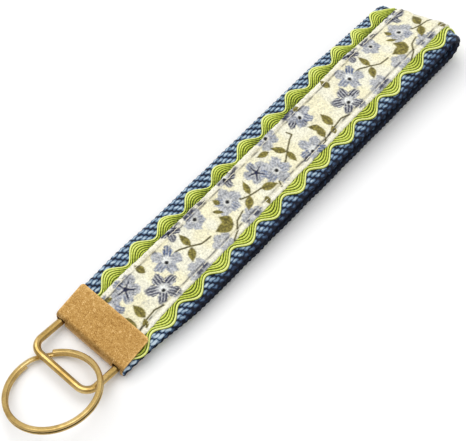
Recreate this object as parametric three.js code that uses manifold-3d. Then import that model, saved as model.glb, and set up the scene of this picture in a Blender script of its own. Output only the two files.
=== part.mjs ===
// Wristlet keychain: a loop of twill webbing trimmed with rick-rack and a printed cotton strip,
// crimped in a folded brass clamp that carries a rectangular wire bail and a split ring.
// Millimetres, +Z up. The strap lies along +Y, the folded end of the loop is at the +Y end.
// The origin is the bottom centre of the whole object's bounding box.

import * as THREE from "three";
import { mergeVertices } from "three/addons/utils/BufferGeometryUtils.js";
import Module from "manifold-3d";

// ---- Driving dimensions -------------------------------------------------------------------

const CLAMP_WIDTH = 27.6; // along X
const CLAMP_DEPTH = 12.3; // mouth to spine, along Y
const SPINE_HEIGHT = 4.75; // over both plates at the closed end
const MOUTH_HEIGHT = 7.8; // over both plates at the mouth, held open by the strap
const PLATE = 0.7; // sheet thickness
const SPINE_RADIUS = 2.2; // outer bend between a plate and the spine
const PLAN_RADIUS = 1.1; // rounding of the plates' corners
const TOOTH_HEIGHT = 0.35;
const TOOTH_PITCH = 2;
const TOOTH_COUNT = 12;
const TOOTH_ROW = 0.9; // length of a tooth along Y
const SLOT_WIDTH = 3.2; // of the two slots in the spine
const SLOT_DEPTH = 1.8; // how far they reach in from the closed end
const SLOT_TOP = 4.35; // they start at the underside and end here, below the upper plate

const BAIL_WIRE = 2.4; // diameter
const BAIL_SPREAD = 22.9; // centre to centre of the two legs
const BAIL_REACH = 14; // hinge bar to front bar, centre to centre
const BAIL_HINGE = new THREE.Vector3(-0.2, -10.15, 2.35);
const BAIL_FRONT_RADIUS = 3.8; // centreline radius of the front corners
const BAIL_REAR_RADIUS = 1.5;
const BAIL_SEAM = 0.4; // gap between the wire's two ends
const BAIL_LIFT = 9; // degrees above level at rest, held up by the ring

const RING_OUTER = 15; // outer radius
const RING_RADIAL = 1.75; // wire section across the ring
const RING_AXIAL = 1.02; // wire section along the ring's axis
const RING_GAP = 0.08; // between the two turns
const RING_STEP = 26; // degrees over which the wire crosses from one turn to the other
const RING_END_GAP = 5; // degrees from the step to each end of the wire
const RING_STEP_AT = 156; // degrees round the ring, from +X
const RING_CENTRE = new THREE.Vector3(3.4, -29.9, 5.75);
const RING_AXIS = new THREE.Vector3(-0.307, 0.106, 0.946).normalize();

const WEBBING_WIDTH = 30;
const GATHER = 3; // how much the webbing narrows at its +X edge towards the clamped ends
const GATHER_LENGTH = 32; // over this distance from each end
const STRAP_SHIFT = 2.1; // the strap sits off-centre in the clamp, towards +X
const LOOP_LENGTH = 150; // clamp mouth to the outside of the fold
const CLAMPED_LENGTH = 8.4; // strap inside the clamp
const LOOP_HEIGHT = 14.8; // over the loop at the fold
const SQUEEZE_END = 0.53; // thickness of the stack at its cut end, as a share of the free one
const SQUEEZE_MOUTH = 0.74; // and at the clamp's mouth
const SQUEEZE_RAMP = 12; // distance over which the stack regains its thickness

// Layers, as distances from the loop's inner face.
const BOBBIN_LAYER = [0, 0.25];
const WEBBING_LAYER = [0.3, 2.2];
const RICKRACK_LAYER = [2.3, 2.95];
const STRIP_LAYER = [3.05, 3.6];
const NEEDLE_LAYER = [3.36, 3.58];
const STACK = STRIP_LAYER[1];

const RICKRACK_CREST = 13; // centreline of the strap to the outermost point of a wave
const RICKRACK_WAVE = 2.75; // peak to peak
const RICKRACK_TAPE = 6.2; // width of the braid
const RICKRACK_PERIOD = 11.75;
const FIRST_CREST = 7.9; // first wave crest beyond the clamp mouth, on the upper layer

const STRIP_WIDTH = 18.4;
const STITCH_ROW = 7.6; // strap centreline to each row of stitches
const THREAD = 0.5; // width of a stitch

const STEP_STRAIGHT = 8; // station spacing of plain bands along the straight runs
const STEP_FOLD = 1.4; // station spacing round the fold

// ---- Looks --------------------------------------------------------------------------------

const finish = (color, roughness, metalness = 0) =>
  new THREE.MeshStandardMaterial({ color, roughness, metalness });
const BRASS = finish(0xc2924f, 0.38, 1);
const WEBBING_COTTON = finish(0x4a6688, 0.9);
const PRINTED_COTTON = finish(0xe6e2cf, 0.85);
const LIME_BRAID = finish(0xb4c23a, 0.85);
const CREAM_THREAD = finish(0xf1ead2, 0.7);

// ---- Solids -------------------------------------------------------------------------------

const wasm = await Module();
wasm.setup();

function solidOf(geometry) {
  const bare = geometry.clone();
  bare.deleteAttribute("normal");
  bare.deleteAttribute("uv");
  const merged = mergeVertices(bare, 1e-4);
  const mesh = new wasm.Mesh({
    numProp: 3,
    vertProperties: merged.attributes.position.array,
    triVerts: new Uint32Array(merged.index.array),
  });
  return new wasm.Manifold(mesh);
}

function geometryOf(solid) {
  const { vertProperties, triVerts } = solid.getMesh();
  const geometry = new THREE.BufferGeometry();
  geometry.setAttribute("position", new THREE.BufferAttribute(vertProperties, 3));
  geometry.setIndex(new THREE.BufferAttribute(triVerts, 1));
  geometry.computeVertexNormals();
  return geometry;
}

// A shape extruded by depth from start, with its own x, y and z turned onto three world axes.
function extrude(shape, axes, start, depth, curveSegments = 6) {
  const settings = { depth, bevelEnabled: false, curveSegments };
  const geometry = new THREE.ExtrudeGeometry(shape, settings);
  geometry.translate(0, 0, start);
  return geometry.applyMatrix4(new THREE.Matrix4().makeBasis(...axes));
}

// A closed solid through cross-sections. sections[i] is a counter-clockwise outline of Vector2,
// and place(i, point) puts one of its points in space.
function loft(sections, place) {
  const count = sections[0].length;
  const last = sections.length - 1;
  const positions = sections.flatMap((outline, i) =>
    outline.flatMap((point) => place(i, point).toArray()),
  );
  const index = [];
  for (let i = 0; i < last; i++) {
    for (let j = 0; j < count; j++) {
      const a = i * count + j;
      const b = i * count + ((j + 1) % count);
      index.push(a, b, b + count, a, b + count, a + count);
    }
  }
  for (const [a, b, c] of THREE.ShapeUtils.triangulateShape(sections[0], [])) {
    index.push(c, b, a);
  }
  for (const face of THREE.ShapeUtils.triangulateShape(sections[last], [])) {
    index.push(...face.map((corner) => last * count + corner));
  }
  const geometry = new THREE.BufferGeometry();
  geometry.setAttribute("position", new THREE.Float32BufferAttribute(positions, 3));
  geometry.setIndex(index);
  geometry.computeVertexNormals();
  return geometry;
}

function mesh(name, geometry, material) {
  const made = new THREE.Mesh(geometry, material);
  made.name = name;
  return made;
}

const X = new THREE.Vector3(1, 0, 0);
const Y = new THREE.Vector3(0, 1, 0);
const Z = new THREE.Vector3(0, 0, 1);
const toRadians = THREE.MathUtils.degToRad;
const jawAngle = Math.atan((MOUTH_HEIGHT - SPINE_HEIGHT) / CLAMP_DEPTH);
// Height of the upper plate's inner face at a distance y from the mouth.
const jawRoof = (y) => MOUTH_HEIGHT + y * Math.tan(jawAngle) - PLATE / Math.cos(jawAngle);
// Height of the plane midway between the plates.
const jawMiddle = (y) => (PLATE + jawRoof(y)) / 2;

// ---- Clamp --------------------------------------------------------------------------------

// The folded sheet in side view: a level lower plate, the spine and a sloping upper plate.
function clampProfile() {
  const inner = SPINE_RADIUS - PLATE;
  const back = -CLAMP_DEPTH + SPINE_RADIUS;
  const sine = Math.sin(jawAngle);
  const cosine = Math.cos(jawAngle);
  const upper = SPINE_HEIGHT - (SPINE_RADIUS * (1 - sine)) / cosine;
  const overrun = 1;
  const mouthRise = overrun * Math.tan(jawAngle);
  const shape = new THREE.Shape();
  shape.moveTo(overrun, 0);
  shape.lineTo(overrun, PLATE);
  shape.absarc(back, SPINE_RADIUS, inner, -Math.PI / 2, -Math.PI, true);
  shape.absarc(back, upper, inner, Math.PI, Math.PI / 2 + jawAngle, true);
  shape.lineTo(overrun, jawRoof(overrun));
  shape.lineTo(overrun, MOUTH_HEIGHT + mouthRise);
  shape.absarc(back, upper, SPINE_RADIUS, Math.PI / 2 + jawAngle, Math.PI, false);
  shape.absarc(back, SPINE_RADIUS, SPINE_RADIUS, Math.PI, Math.PI * 1.5, false);
  return shape;
}

// The plates in plan view, with rounded corners.
function clampPlan() {
  const half = CLAMP_WIDTH / 2;
  const r = PLAN_RADIUS;
  const shape = new THREE.Shape();
  shape.absarc(half - r, -r, r, 0, Math.PI / 2, false);
  shape.absarc(-half + r, -r, r, Math.PI / 2, Math.PI, false);
  shape.absarc(-half + r, -CLAMP_DEPTH + r, r, Math.PI, Math.PI * 1.5, false);
  shape.absarc(half - r, -CLAMP_DEPTH + r, r, Math.PI * 1.5, Math.PI * 2, false);
  return shape;
}

// A row of teeth just inside the mouth, standing up from the level z = 0.
function teethRow() {
  const length = TOOTH_COUNT * TOOTH_PITCH;
  const root = -PLATE * 0.4;
  const outline = [new THREE.Vector2(-length / 2, root), new THREE.Vector2(length / 2, root)];
  for (let i = 0; i < TOOTH_COUNT; i++) {
    const right = length / 2 - i * TOOTH_PITCH;
    outline.push(new THREE.Vector2(right, 0));
    outline.push(new THREE.Vector2(right - TOOTH_PITCH / 2, TOOTH_HEIGHT));
  }
  outline.push(new THREE.Vector2(-length / 2, 0));
  return extrude(new THREE.Shape(outline), [X, Z, Y.clone().negate()], 0.5, TOOTH_ROW);
}

// The cut in the spine that one leg of the bail passes through.
function legSlot(x) {
  const slot = new THREE.BoxGeometry(SLOT_WIDTH, 2 * SLOT_DEPTH, 2 * SLOT_TOP);
  return slot.translate(x, -CLAMP_DEPTH, 0);
}

function makeClamp() {
  const half = CLAMP_WIDTH / 2;
  const folded = solidOf(extrude(clampProfile(), [Y, Z, X], -half - 1, CLAMP_WIDTH + 2));
  const plan = solidOf(extrude(clampPlan(), [X, Y, Z], -1, MOUTH_HEIGHT + 2));
  const lowerTeeth = teethRow().translate(0, 0, PLATE);
  const upperTeeth = teethRow().rotateY(Math.PI).rotateX(jawAngle).translate(0, 0, jawRoof(0));
  let clamp = folded.intersect(plan).add(solidOf(lowerTeeth)).add(solidOf(upperTeeth));
  for (const side of [-1, 1]) {
    clamp = clamp.subtract(solidOf(legSlot((side * BAIL_SPREAD) / 2)));
  }
  return mesh("clamp", geometryOf(clamp), BRASS);
}

// ---- Bail ---------------------------------------------------------------------------------

// The wire's centreline, a rounded rectangle that starts and ends at the seam in the hinge bar.
function bailPath() {
  const leg = BAIL_SPREAD / 2;
  const front = BAIL_FRONT_RADIUS;
  const rear = BAIL_REAR_RADIUS;
  const quarter = Math.PI / 2;
  const path = new THREE.Path();
  path.moveTo(BAIL_SEAM / 2, 0);
  path.absarc(leg - rear, -rear, rear, quarter, 0, true);
  path.absarc(leg - front, -BAIL_REACH + front, front, 0, -quarter, true);
  path.absarc(-leg + front, -BAIL_REACH + front, front, -quarter, -2 * quarter, true);
  path.absarc(-leg + rear, -rear, rear, 2 * quarter, quarter, true);
  path.lineTo(-BAIL_SEAM / 2, 0);
  return path;
}

function makeBail() {
  const path = bailPath();
  const stepCount = 90;
  const section = Array.from({ length: 12 }, (_, i) => {
    const angle = (i * Math.PI) / 6;
    return new THREE.Vector2(Math.cos(angle), Math.sin(angle)).multiplyScalar(BAIL_WIRE / 2);
  });
  const sections = Array.from({ length: stepCount + 1 }, () => section);
  const place = (i, point) => {
    const at = path.getPointAt(i / stepCount);
    const along = path.getTangentAt(i / stepCount);
    return new THREE.Vector3(at.x - along.y * point.x, at.y + along.x * point.x, point.y);
  };
  const bail = mesh("bail_wire", loft(sections, place), BRASS);
  bail.position.copy(BAIL_HINGE);
  bail.rotation.x = -toRadians(BAIL_LIFT);
  return bail;
}

// ---- Split ring ---------------------------------------------------------------------------

// The wire's rounded section, x across the ring and y along its axis.
function ringSection() {
  const radial = RING_RADIAL / 2;
  const axial = RING_AXIAL / 2;
  const corner = 0.34;
  return [
    [radial - corner, -axial],
    [radial, -axial + corner],
    [radial, axial - corner],
    [radial - corner, axial],
    [-radial + corner, axial],
    [-radial, axial - corner],
    [-radial, -axial + corner],
    [-radial + corner, -axial],
  ].map(([x, y]) => new THREE.Vector2(x, y));
}

function makeSplitRing() {
  const pitch = RING_AXIAL + RING_GAP;
  const total = 720 - RING_STEP - 2 * RING_END_GAP;
  const stepCount = 112;
  const radius = RING_OUTER - RING_RADIAL / 2;
  const sections = Array.from({ length: stepCount + 1 }, ringSection);
  const place = (i, point) => {
    const turned = -total / 2 + (total * i) / stepCount;
    const rise = (0.5 - THREE.MathUtils.smoothstep(turned, -RING_STEP / 2, RING_STEP / 2)) * pitch;
    const angle = toRadians(RING_STEP_AT - turned);
    const reach = radius + point.x;
    return new THREE.Vector3(reach * Math.cos(angle), reach * Math.sin(angle), point.y + rise);
  };
  const ring = mesh("split_ring", loft(sections, place), BRASS);
  ring.position.copy(RING_CENTRE);
  ring.quaternion.setFromUnitVectors(Z, RING_AXIS);
  return ring;
}

// ---- Strap --------------------------------------------------------------------------------

// The loop's inner face in side view, x here being the strap's Y and y its Z. It starts at the
// lower layer's clamped end, runs out to the fold and comes back along the upper layer.
function loopPath() {
  const outer = LOOP_HEIGHT / 2;
  const foldY = LOOP_LENGTH - outer;
  const slope = toRadians(2.3);
  const clearance = 0.05;
  const path = new THREE.Path();
  path.moveTo(-CLAMPED_LENGTH, jawMiddle(-CLAMPED_LENGTH) - clearance);
  path.lineTo(0, jawMiddle(0) - clearance);
  path.bezierCurveTo(4, STACK + 0.3, 8, STACK, SQUEEZE_RAMP, STACK);
  path.lineTo(foldY, STACK);
  const beforeFold = path.getLength();
  path.absarc(foldY, outer, outer - STACK, -Math.PI / 2, Math.PI / 2 + slope, false);
  const top = path.currentPoint.clone();
  const reach = foldY / 3;
  const upper = jawMiddle(0) + clearance;
  path.bezierCurveTo(top.x - reach, top.y - reach * Math.tan(slope), 40, 7.25, 0, upper);
  path.lineTo(-CLAMPED_LENGTH, jawMiddle(-CLAMPED_LENGTH) + clearance);
  path.arcLengthDivisions = 2000;
  return { path, foldMiddle: beforeFold + ((outer - STACK) * Math.PI) / 2 };
}

const { path: loop, foldMiddle } = loopPath();
const loopTotal = loop.getLength();

// Distances along the loop at which a band is given a cross-section: close together round the
// fold and where the stack thins into the clamp, and every step millimetres elsewhere.
function stations(step) {
  const marks = new Set();
  const clampedSteps = Math.ceil(CLAMPED_LENGTH / step);
  for (let i = 0; i <= clampedSteps; i++) {
    const mark = (CLAMPED_LENGTH * i) / clampedSteps;
    marks.add(mark).add(loopTotal - mark);
  }
  for (let ramp = 2; ramp <= SQUEEZE_RAMP; ramp += 2) {
    marks.add(CLAMPED_LENGTH + ramp).add(loopTotal - CLAMPED_LENGTH - ramp);
  }
  const bend = 10;
  const bendSteps = Math.round((2 * bend) / STEP_FOLD);
  for (let i = 0; i <= bendSteps; i++) marks.add(foldMiddle - bend + (2 * bend * i) / bendSteps);
  const runs = [
    [CLAMPED_LENGTH + SQUEEZE_RAMP, foldMiddle - bend],
    [foldMiddle + bend, loopTotal - CLAMPED_LENGTH - SQUEEZE_RAMP],
  ];
  for (const [from, to] of runs) {
    const count = Math.round((to - from) / step);
    for (let i = 1; i < count; i++) marks.add(from + ((to - from) * i) / count);
  }
  return [...marks].sort((a, b) => a - b);
}

// Thickness of the stack at distance s along the loop, as a share of the free one.
function squeeze(s) {
  const fromEnd = Math.min(s, loopTotal - s);
  if (fromEnd < CLAMPED_LENGTH) {
    return THREE.MathUtils.lerp(SQUEEZE_END, SQUEEZE_MOUTH, fromEnd / CLAMPED_LENGTH);
  }
  const ramp = THREE.MathUtils.smoothstep(fromEnd - CLAMPED_LENGTH, 0, SQUEEZE_RAMP);
  return THREE.MathUtils.lerp(SQUEEZE_MOUTH, 1, ramp);
}

// A band round the loop. outlineAt(s) is its cross-section at distance s, x across the strap
// and y outwards from the loop's inner face.
function band(name, material, marks, outlineAt) {
  const place = (i, point) => {
    const share = marks[i] / loopTotal;
    const at = loop.getPointAt(share);
    const along = loop.getTangentAt(share);
    const height = point.y * squeeze(marks[i]);
    return new THREE.Vector3(point.x, at.x + along.y * height, at.y - along.x * height);
  };
  return mesh(name, loft(marks.map(outlineAt), place), material);
}

const rectangle = ([left, right], [low, high]) => [
  new THREE.Vector2(left, low),
  new THREE.Vector2(right, low),
  new THREE.Vector2(right, high),
  new THREE.Vector2(left, high),
];

function makeWebbing() {
  const half = WEBBING_WIDTH / 2;
  const outlineAt = (s) => {
    const fromEnd = Math.min(s, loopTotal - s);
    const freed = THREE.MathUtils.smoothstep(fromEnd, -6, GATHER_LENGTH);
    return rectangle([-half, half - GATHER * (1 - freed)], WEBBING_LAYER);
  };
  return band("webbing_strap", WEBBING_COTTON, stations(STEP_STRAIGHT), outlineAt);
}

function makeRickrack(name, side) {
  const middle = RICKRACK_CREST - (RICKRACK_WAVE + RICKRACK_TAPE) / 2;
  const crest = loopTotal - CLAMPED_LENGTH - FIRST_CREST;
  const outlineAt = (s) => {
    const wave = Math.cos((2 * Math.PI * (s - crest)) / RICKRACK_PERIOD);
    const centre = side * (middle + (wave * RICKRACK_WAVE) / 2);
    const edges = [centre - RICKRACK_TAPE / 2, centre + RICKRACK_TAPE / 2];
    return rectangle(edges, RICKRACK_LAYER);
  };
  return band(name, LIME_BRAID, stations(RICKRACK_PERIOD / 6), outlineAt);
}

// The strip's hems are turned under over the rick-rack, and the stitches pull it down in two
// channels. Its middle sinks a little between the two braids.
function makeStrip() {
  const [low, high] = STRIP_LAYER;
  const half = STRIP_WIDTH / 2;
  const channel = NEEDLE_LAYER[0] - 0.05;
  const right = [
    [half, low],
    [half, high - 0.1],
    [half - 0.7, high],
    [STITCH_ROW + THREAD * 0.8, high],
    [STITCH_ROW + THREAD * 0.6, channel],
    [STITCH_ROW - THREAD * 0.6, channel],
    [STITCH_ROW - THREAD * 0.8, high],
    [4.4, high],
    [3, high - 0.2],
  ];
  const left = right.map(([x, y]) => [-x, y]).reverse();
  const outline = [...right, ...left].map(([x, y]) => new THREE.Vector2(x, y));
  return band("fabric_strip", PRINTED_COTTON, stations(STEP_STRAIGHT), () => outline);
}

function makeThread(name, side, layer) {
  const row = side * STITCH_ROW;
  const outlineAt = () => rectangle([row - THREAD / 2, row + THREAD / 2], layer);
  return band(name, CREAM_THREAD, stations(STEP_STRAIGHT), outlineAt);
}

function makeStrap() {
  const strap = new THREE.Group();
  strap.add(
    makeWebbing(),
    makeRickrack("rickrack_left", -1),
    makeRickrack("rickrack_right", 1),
    makeStrip(),
    makeThread("needle_thread_left", -1, NEEDLE_LAYER),
    makeThread("needle_thread_right", 1, NEEDLE_LAYER),
    makeThread("bobbin_thread_left", -1, BOBBIN_LAYER),
    makeThread("bobbin_thread_right", 1, BOBBIN_LAYER),
  );
  strap.position.x = STRAP_SHIFT;
  return strap;
}

// ---- The whole object ---------------------------------------------------------------------

const wristlet = new THREE.Group();
wristlet.add(makeClamp(), makeBail(), makeSplitRing(), makeStrap());

const extent = new THREE.Box3().setFromObject(wristlet, true);
const middle = extent.getCenter(new THREE.Vector3());
wristlet.position.set(-middle.x, -middle.y, -extent.min.z);

export default wristlet;
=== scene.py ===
"""Looks of the wristlet keychain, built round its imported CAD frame.

Lengths in this script are millimetres until a point is placed, and every placed point is in
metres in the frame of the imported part. The strap's pieces are described by three numbers:
u across the strap, s along the loop's inner face, and h outwards from that face. Materials read
positions in metres, or u, s and h from the attribute "strap".
"""

import math  # noqa: E402

import bpy  # noqa: E402
import numpy as np  # noqa: E402
from mathutils import Matrix, Vector  # noqa: E402


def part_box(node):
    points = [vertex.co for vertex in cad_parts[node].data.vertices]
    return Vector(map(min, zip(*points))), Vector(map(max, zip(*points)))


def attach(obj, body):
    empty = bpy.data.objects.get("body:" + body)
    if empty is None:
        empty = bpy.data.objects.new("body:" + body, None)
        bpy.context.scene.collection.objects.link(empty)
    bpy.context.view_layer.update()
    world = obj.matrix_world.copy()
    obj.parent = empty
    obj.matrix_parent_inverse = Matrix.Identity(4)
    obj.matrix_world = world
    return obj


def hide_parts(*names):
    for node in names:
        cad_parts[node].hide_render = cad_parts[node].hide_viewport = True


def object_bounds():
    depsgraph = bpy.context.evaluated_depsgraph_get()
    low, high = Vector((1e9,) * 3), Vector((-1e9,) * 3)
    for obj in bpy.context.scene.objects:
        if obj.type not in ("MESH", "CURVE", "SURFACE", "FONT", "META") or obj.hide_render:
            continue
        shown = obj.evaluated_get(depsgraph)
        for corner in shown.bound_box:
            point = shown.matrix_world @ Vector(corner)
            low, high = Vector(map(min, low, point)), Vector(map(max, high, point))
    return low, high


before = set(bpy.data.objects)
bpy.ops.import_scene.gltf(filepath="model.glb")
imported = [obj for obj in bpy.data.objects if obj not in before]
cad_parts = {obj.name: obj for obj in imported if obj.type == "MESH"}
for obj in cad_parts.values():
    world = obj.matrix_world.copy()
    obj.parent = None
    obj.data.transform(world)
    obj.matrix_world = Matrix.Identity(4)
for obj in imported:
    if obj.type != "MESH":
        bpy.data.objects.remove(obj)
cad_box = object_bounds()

MM = 0.001

# ---- The loop, as the CAD strap follows it --------------------------------------------------

CLAMP_DEPTH, SPINE_HEIGHT, MOUTH_HEIGHT, PLATE = 12.3, 4.75, 7.8, 0.7
CLAMPED_LENGTH, LOOP_LENGTH, LOOP_HEIGHT = 8.4, 150.0, 14.8
STRAP_SHIFT = 2.1  # the strap's middle, right of the clamp's
STACK = 3.6  # thickness of webbing, braid and strip together
UPPER_SLOPE = math.radians(2.3)  # of the upper layer, where it leaves the fold

# Share of the stack's thickness left at its ends and at the mouth of the clamp, and how far from
# the mouth it is whole again.
SQUEEZE_END, SQUEEZE_MOUTH, SQUEEZE_RAMP = 0.53, 0.74, 12.0

# How far the left and right edges of the free upper layer sink.
DROOP_LEFT, DROOP_RIGHT = 0.9, 1.7

# The left side of the fold is lower by a share of its height, and ends short of the right side.
FOLD_DIP, FOLD_SKEW = 0.3, 4.6

clamp_low, clamp_high = (np.array(corner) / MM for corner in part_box("clamp"))
MOUTH = np.array([(clamp_low[0] + clamp_high[0]) / 2, clamp_high[1], clamp_low[2]])


def smooth(x, low, high):
    """0 below low, 1 above high, and a smooth ramp between."""
    t = np.clip((np.asarray(x, float) - low) / (high - low), 0, 1)
    return t * t * (3 - 2 * t)


def jaw_middle(y):
    """Height of the middle of the clamp's jaw. y is 0 at its mouth and negative inside."""
    angle = math.atan((MOUTH_HEIGHT - SPINE_HEIGHT) / CLAMP_DEPTH)
    roof = MOUTH_HEIGHT + y * math.tan(angle) - PLATE / math.cos(angle)
    return (PLATE + roof) / 2


def line(a, b, count=200):
    t = np.linspace(0, 1, count)[:, None]
    return np.array(a) * (1 - t) + np.array(b) * t


def bezier(a, b, c, d, count=2000):
    t = np.linspace(0, 1, count)[:, None]
    a, b, c, d = map(np.array, (a, b, c, d))
    return (1 - t) ** 3 * a + 3 * (1 - t) ** 2 * t * b + 3 * (1 - t) * t**2 * c + t**3 * d


def loop_points():
    """The loop's inner face in side view, as points (y, z) from the mouth of the clamp."""
    outer = LOOP_HEIGHT / 2
    inner = outer - STACK
    fold = LOOP_LENGTH - outer
    gap = 0.05
    turn = np.linspace(-math.pi / 2, math.pi / 2 + UPPER_SLOPE, 400)
    arc = np.stack([fold + inner * np.cos(turn), outer + inner * np.sin(turn)], 1)
    top = arc[-1]
    reach = fold / 3
    leaving = [top[0] - reach, top[1] - reach * math.tan(UPPER_SLOPE)]
    end = -CLAMPED_LENGTH
    low_end, low_mouth = [end, jaw_middle(end) - gap], [0, jaw_middle(0) - gap]
    high_end, high_mouth = [end, jaw_middle(end) + gap], [0, jaw_middle(0) + gap]
    runs = [
        line(low_end, low_mouth),
        bezier(low_mouth, [4, STACK + 0.3], [8, STACK], [SQUEEZE_RAMP, STACK]),
        line([SQUEEZE_RAMP, STACK], [fold, STACK], 2000),
        arc,
        bezier(top, leaving, [40, 7.25], high_mouth),
        line(high_mouth, high_end),
    ]
    points = np.concatenate(runs)
    step = np.linalg.norm(np.diff(points, axis=0), axis=1)
    points = points[np.concatenate([[True], step > 1e-9])]
    step = np.linalg.norm(np.diff(points, axis=0), axis=1)
    return points, np.concatenate([[0], np.cumsum(step)])


LOOP, LOOP_S = loop_points()
TOTAL = float(LOOP_S[-1])


def loop_at(s):
    """Point of the loop's inner face at s. Past either end it goes straight on."""
    run = 2.0
    point = []
    for track in LOOP.T:
        value = np.interp(s, LOOP_S, track)
        for end, inner, sign in ((0.0, run, -1), (TOTAL, TOTAL - run, 1)):
            slope = (np.interp(end, LOOP_S, track) - np.interp(inner, LOOP_S, track)) / run
            value += np.maximum(sign * (s - end), 0) * slope
        point.append(value)
    return point


def squeeze(s):
    """Thickness of the stack as a share of the free one."""
    end = np.minimum(s, TOTAL - s)
    clamped = SQUEEZE_END + (SQUEEZE_MOUTH - SQUEEZE_END) * np.clip(end / CLAMPED_LENGTH, 0, 1)
    freed = smooth(end - CLAMPED_LENGTH, 0, SQUEEZE_RAMP)
    return np.where(end < CLAMPED_LENGTH, clamped, SQUEEZE_MOUTH + (1 - SQUEEZE_MOUTH) * freed)


def droop(u, s):
    """How far the edges of the free upper layer sink below its middle."""
    free = smooth(TOTAL - s, CLAMPED_LENGTH, 45) * smooth(s, TOTAL / 2 - 4, TOTAL / 2 + 30)
    return free * np.where(u > 0, DROOP_RIGHT, DROOP_LEFT) * smooth(np.abs(u), 6, 17.5)


def place(u, s, h):
    """Points in metres for coordinates on the strap."""
    u, s, h = np.broadcast_arrays(u, s, h)
    y, z = loop_at(s)
    step = 0.6
    after, before = loop_at(s + step), loop_at(s - step)
    run_y, run_z = after[0] - before[0], after[1] - before[1]
    size = np.hypot(run_y, run_z)
    height = h * squeeze(s) - droop(u, s)
    ahead, up = y + run_z / size * height, z - run_y / size * height
    up = up * (1 - FOLD_DIP * smooth(-u, -12, 15) * smooth(ahead, 95, 148))
    ahead = ahead - FOLD_SKEW * smooth(-u, -13, 17) * smooth(ahead, 108, 150)
    points = np.stack([u + STRAP_SHIFT, ahead, up], -1)
    return (points + MOUTH) * MM


def from_mouth(s):
    """Distance along the upper layer from the clamp's mouth, growing round the loop."""
    return TOTAL - CLAMPED_LENGTH - s


def along_layer(table, s):
    """A measure that changes along a layer, from pairs of distance from the clamp and value."""
    distance = np.minimum(s, TOTAL - s) - CLAMPED_LENGTH
    return np.interp(distance, *zip(*table))


# ---- Mesh helpers ---------------------------------------------------------------------------

NOISE_CELLS = 64
NOISE_START = 500  # cells before zero, which keeps them all positive


def noise(u, s, cell_u, cell_s, seed):
    """Smooth noise from -1 to 1 on a grid of cells, the same on every run."""
    table = np.random.RandomState(seed).uniform(-1, 1, (NOISE_CELLS, NOISE_CELLS))
    a, b = np.broadcast_arrays(np.asarray(u) / cell_u + NOISE_START, np.asarray(s) / cell_s + NOISE_START)
    i, j = np.floor(a).astype(int), np.floor(b).astype(int)
    f, g = a - i, b - j
    f, g = f * f * (3 - 2 * f), g * g * (3 - 2 * g)
    i, j = i % NOISE_CELLS, j % NOISE_CELLS
    next_i, next_j = (i + 1) % NOISE_CELLS, (j + 1) % NOISE_CELLS
    low = table[i, j] * (1 - f) + table[next_i, j] * f
    high = table[i, next_j] * (1 - f) + table[next_i, next_j] * f
    return low * (1 - g) + high * g


def new_mesh(name, points, quads, flat_quads=()):
    """A mesh of quads, shaded smooth, and more quads shaded flat."""
    mesh = bpy.data.meshes.new(name)
    count = len(quads) + len(flat_quads)
    corners = np.concatenate([np.ravel(quads), np.ravel(flat_quads)]).astype(np.int32)
    mesh.vertices.add(len(points))
    mesh.vertices.foreach_set("co", np.asarray(points, np.float32).ravel())
    mesh.loops.add(len(corners))
    mesh.loops.foreach_set("vertex_index", corners)
    mesh.polygons.add(count)
    mesh.polygons.foreach_set("loop_start", np.arange(count, dtype=np.int32) * 4)
    mesh.polygons.foreach_set("use_smooth", np.arange(count) < len(quads))
    mesh.update(calc_edges=True)
    mesh.validate()
    return mesh


# For so many numbers per point: the type of an attribute, and the field that holds them.
ATTRIBUTE_KINDS = {1: ("FLOAT", "value"), 3: ("FLOAT_VECTOR", "vector"), 4: ("FLOAT_COLOR", "color")}


def tube(name, rings, values):
    """A closed body through rings, an array of sections by points by 3, in metres. Its ends are
    closed by a ladder of quads between the two halves of the ring. values holds its attributes,
    with the numbers of each point of the rings."""
    count, around = rings.shape[:2]
    index = np.arange(count * around).reshape(count, around)
    right = np.roll(index, -1, axis=1)
    quads = np.stack([index[:-1], right[:-1], right[1:], index[1:]], -1).reshape(-1, 4)
    rung = np.arange(around // 2 - 1)
    ladder = np.stack([rung, rung + 1, around - 2 - rung, around - 1 - rung], -1)
    caps = np.concatenate([index[0][ladder][:, ::-1], index[-1][ladder]])
    points = rings.reshape(-1, 3)
    first = points[quads[:, 0]]
    normal = np.cross(points[quads[:, 1]] - first, points[quads[:, 3]] - first)
    if (first * normal).sum() < 0:
        quads = quads[:, ::-1]
        caps = caps[:, ::-1]
    made = bpy.data.objects.new(name, new_mesh(name, points, quads, caps))
    bpy.context.scene.collection.objects.link(made)
    for key, value in values.items():
        flat = np.asarray(value, np.float32).reshape(count * around, -1)
        kind, field = ATTRIBUTE_KINDS[flat.shape[1]]
        made.data.attributes.new(key, kind, "POINT").data.foreach_set(field, flat.ravel())
    return made


def band(name, u, s, outer, inner, **values):
    """A closed band round the loop. u, s, outer and inner are arrays of sections by points, and
    so is each value, or a list of one for the outer and one for the inner face."""
    u_ring = np.concatenate([u, u[:, ::-1]], 1)
    h_ring = np.concatenate([outer, inner[:, ::-1]], 1)
    s_ring = np.concatenate([s, s[:, ::-1]], 1)
    strap = np.stack([u_ring, s_ring, h_ring], -1)
    pairs = {key: v if isinstance(v, list) else [v, v] for key, v in values.items()}
    both = {key: np.concatenate([a, b[:, ::-1]], 1) for key, (a, b) in pairs.items()}
    return tube(name, place(u_ring, s_ring, h_ring), {"strap": strap, **both})


# ---- Material helpers -----------------------------------------------------------------------


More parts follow.
